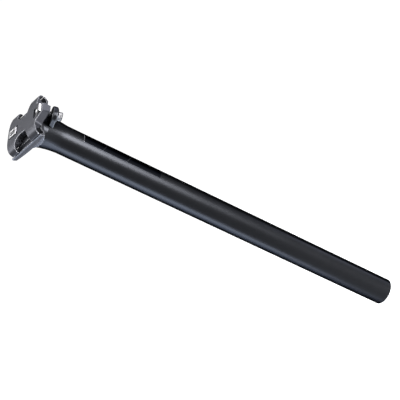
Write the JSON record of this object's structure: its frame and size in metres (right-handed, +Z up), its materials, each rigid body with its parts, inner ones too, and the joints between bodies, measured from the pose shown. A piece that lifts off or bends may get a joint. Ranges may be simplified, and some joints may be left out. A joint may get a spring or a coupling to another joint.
{
  "type": "bicycle seatpost",
  "caption": "Straight bicycle seatpost with a forged head and a bolted saddle-rail clamp that tilts in the head's round trough.",
  "frame": {"origin": "centre of the shaft's lower end", "axes": "+Z up along the shaft, +X to the front of the bicycle, +Y to its left"},
  "size_m": [0.0555, 0.0546, 0.4221],
  "materials": {
    "anodised_black": "satin black anodised",
    "clamp_grey": "satin dark grey anodised",
    "bolt_steel": "bright steel",
    "nut_steel": "bright plated steel"
  },
  "bodies": {
    "post": {"post": "anodised_black"},
    "clamp": {"lower_cradle": "clamp_grey", "upper_clamp": "clamp_grey"},
    "front_bolt": {"front_bolt": "bolt_steel", "front_washer": "bolt_steel"},
    "rear_bolt": {"rear_bolt": "bolt_steel", "rear_washer": "bolt_steel"},
    "front_nut": {"front_nut": "nut_steel"},
    "rear_nut": {"rear_nut": "nut_steel"}
  },
  "joints": [
    {"name": "saddle_tilt", "type": "hinge", "parent": "post", "child": "clamp", "pos_m": [0, 0, 0.414], "axis": [0, 1, 0], "range_deg": [-7, 3]},
    {"name": "front_bolt_swing", "type": "hinge", "parent": "post", "child": "front_bolt", "pos_m": [0.02245, 0, 0.3939], "axis": [0, 1, 0], "range_deg": [-1, 2]},
    {"name": "rear_bolt_swing", "type": "hinge", "parent": "post", "child": "rear_bolt", "pos_m": [-0.02105, 0, 0.4017], "axis": [0, 1, 0], "range_deg": [-1, 1]},
    {"name": "front_nut_turn", "type": "hinge", "parent": "clamp", "child": "front_nut", "pos_m": [0.01813, 0, 0.41314], "axis": [0, 1, 0], "range_deg": [-4, 9]},
    {"name": "rear_nut_turn", "type": "hinge", "parent": "clamp", "child": "rear_nut", "pos_m": [-0.01733, 0, 0.41939], "axis": [0, 1, 0], "range_deg": [-3, 7]}
  ],
  "couplings": [
    {"joint": "front_bolt_swing", "follows": "saddle_tilt", "ratio": -0.2},
    {"joint": "rear_bolt_swing", "follows": "saddle_tilt", "ratio": 0.064},
    {"joint": "front_nut_turn", "follows": "saddle_tilt", "ratio": -1.2},
    {"joint": "rear_nut_turn", "follows": "saddle_tilt", "ratio": -0.936}
  ]
}
